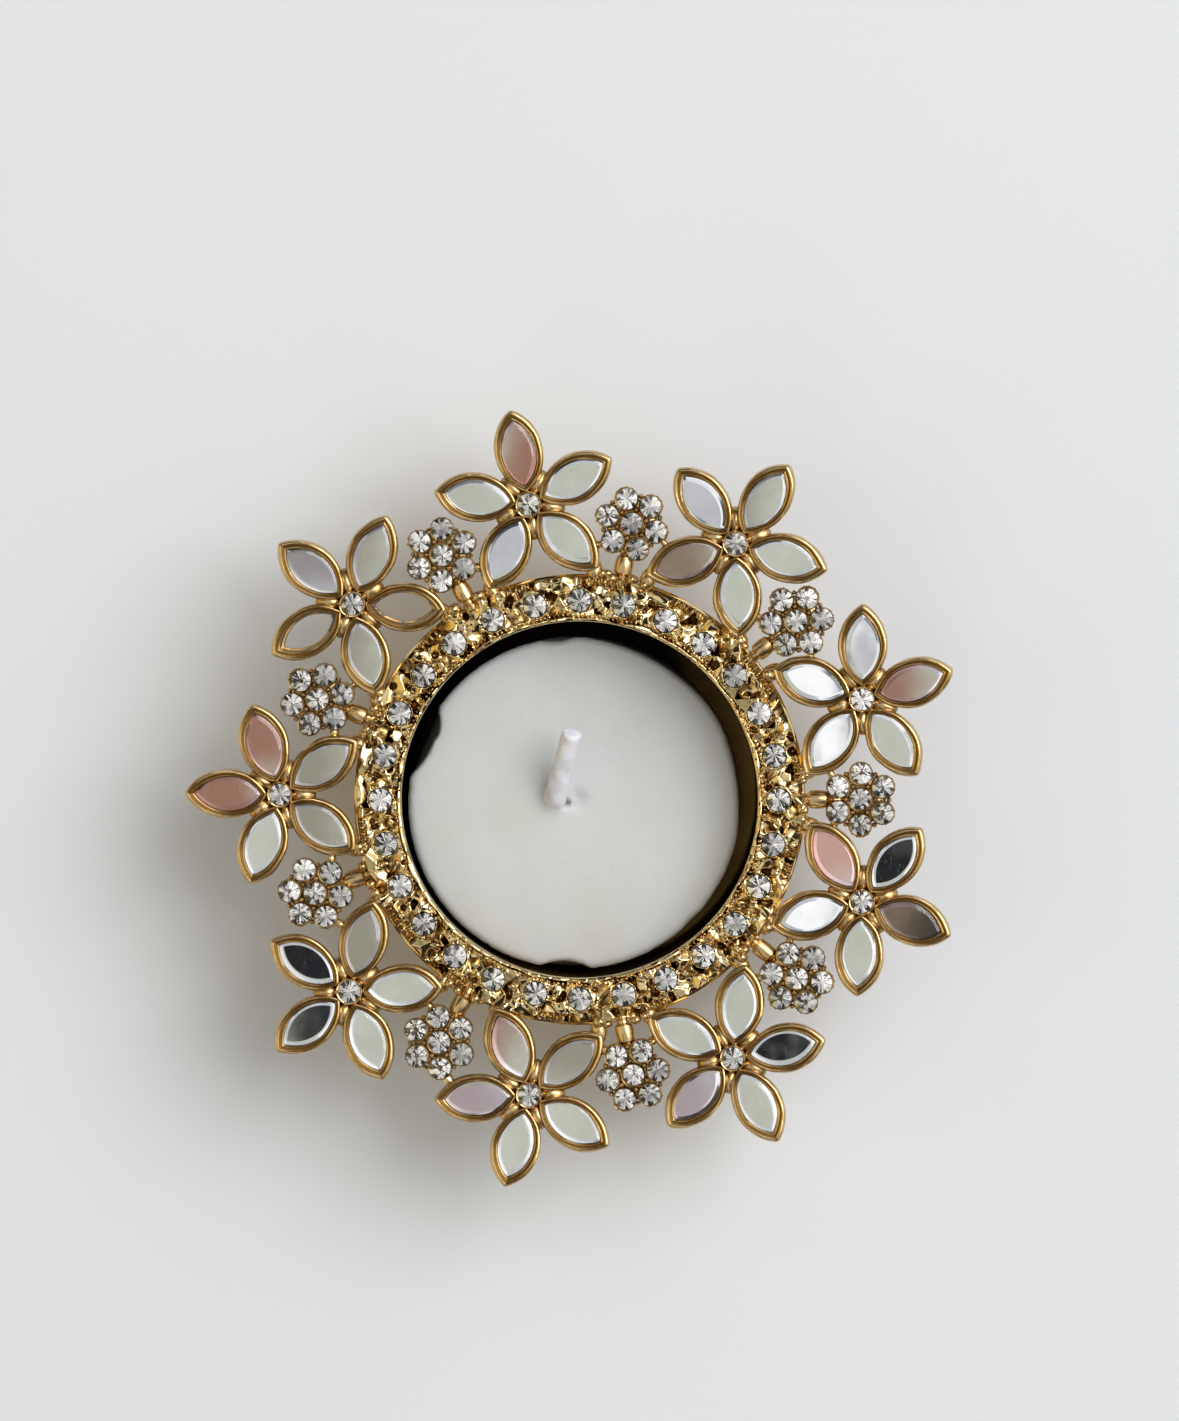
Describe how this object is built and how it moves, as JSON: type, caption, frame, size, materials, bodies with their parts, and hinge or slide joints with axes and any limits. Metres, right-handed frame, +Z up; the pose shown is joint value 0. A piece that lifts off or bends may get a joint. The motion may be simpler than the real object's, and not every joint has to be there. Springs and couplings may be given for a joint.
{
  "type": "tealight holder",
  "caption": "Tealight holder with a round cup under a crystal set ring, wreathed by flowers with mirror petals and crystal clusters, with a bare wax candle that lifts out.",
  "frame": {"origin": "centre of the cup's underside, on the surface that the holder stands on", "axes": "+Z up along the axis of the cup and ring, +X to the right and +Y away in a view from above"},
  "size_m": [0.0855, 0.0865, 0.0215],
  "materials": {
    "gold_casting": "polished gold plate with cast texture",
    "cup_gold": "gold plate outside, dark inside",
    "mirror_glass": "bevelled mirror glass",
    "crystal": "clear faceted crystal, foiled behind",
    "wax": "white paraffin wax, chipped at the rim",
    "wick_cotton": "braided waxed cotton",
    "tin_plate": "plain tin plate"
  },
  "bodies": {
    "holder": {"cup": "cup_gold", "crystal_ring": "gold_casting", "flower_1_frame": "gold_casting", "flower_1_mirror_1": "mirror_glass", "flower_1_mirror_2": "mirror_glass", "flower_1_mirror_3": "mirror_glass", "flower_1_mirror_4": "mirror_glass", "flower_1_mirror_5": "mirror_glass", "flower_2_frame": "gold_casting", "flower_2_mirror_1": "mirror_glass", "flower_2_mirror_2": "mirror_glass", "flower_2_mirror_3": "mirror_glass", "flower_2_mirror_4": "mirror_glass", "flower_2_mirror_5": "mirror_glass", "flower_3_frame": "gold_casting", "flower_3_mirror_1": "mirror_glass", "flower_3_mirror_2": "mirror_glass", "flower_3_mirror_3": "mirror_glass", "flower_3_mirror_4": "mirror_glass", "flower_3_mirror_5": "mirror_glass", "flower_4_frame": "gold_casting", "flower_4_mirror_1": "mirror_glass", "flower_4_mirror_2": "mirror_glass", "flower_4_mirror_3": "mirror_glass", "flower_4_mirror_4": "mirror_glass", "flower_4_mirror_5": "mirror_glass", "flower_5_frame": "gold_casting", "flower_5_mirror_1": "mirror_glass", "flower_5_mirror_2": "mirror_glass", "flower_5_mirror_3": "mirror_glass", "flower_5_mirror_4": "mirror_glass", "flower_5_mirror_5": "mirror_glass", "flower_6_frame": "gold_casting", "flower_6_mirror_1": "mirror_glass", "flower_6_mirror_2": "mirror_glass", "flower_6_mirror_3": "mirror_glass", "flower_6_mirror_4": "mirror_glass", "flower_6_mirror_5": "mirror_glass", "flower_7_frame": "gold_casting", "flower_7_mirror_1": "mirror_glass", "flower_7_mirror_2": "mirror_glass", "flower_7_mirror_3": "mirror_glass", "flower_7_mirror_4": "mirror_glass", "flower_7_mirror_5": "mirror_glass", "flower_8_frame": "gold_casting", "flower_8_mirror_1": "mirror_glass", "flower_8_mirror_2": "mirror_glass", "flower_8_mirror_3": "mirror_glass", "flower_8_mirror_4": "mirror_glass", "flower_8_mirror_5": "mirror_glass", "flower_9_frame": "gold_casting", "flower_9_mirror_1": "mirror_glass", "flower_9_mirror_3": "mirror_glass", "flower_9_mirror_5": "mirror_glass"},
    "tealight": {"wax": "wax", "wick": "wick_cotton", "wick_sustainer": "tin_plate"}
  },
  "joints": [
    {"name": "tealight_lift", "type": "slide", "parent": "holder", "child": "tealight", "axis": [0, 0, 1], "range_m": [0, 0.03]}
  ]
}
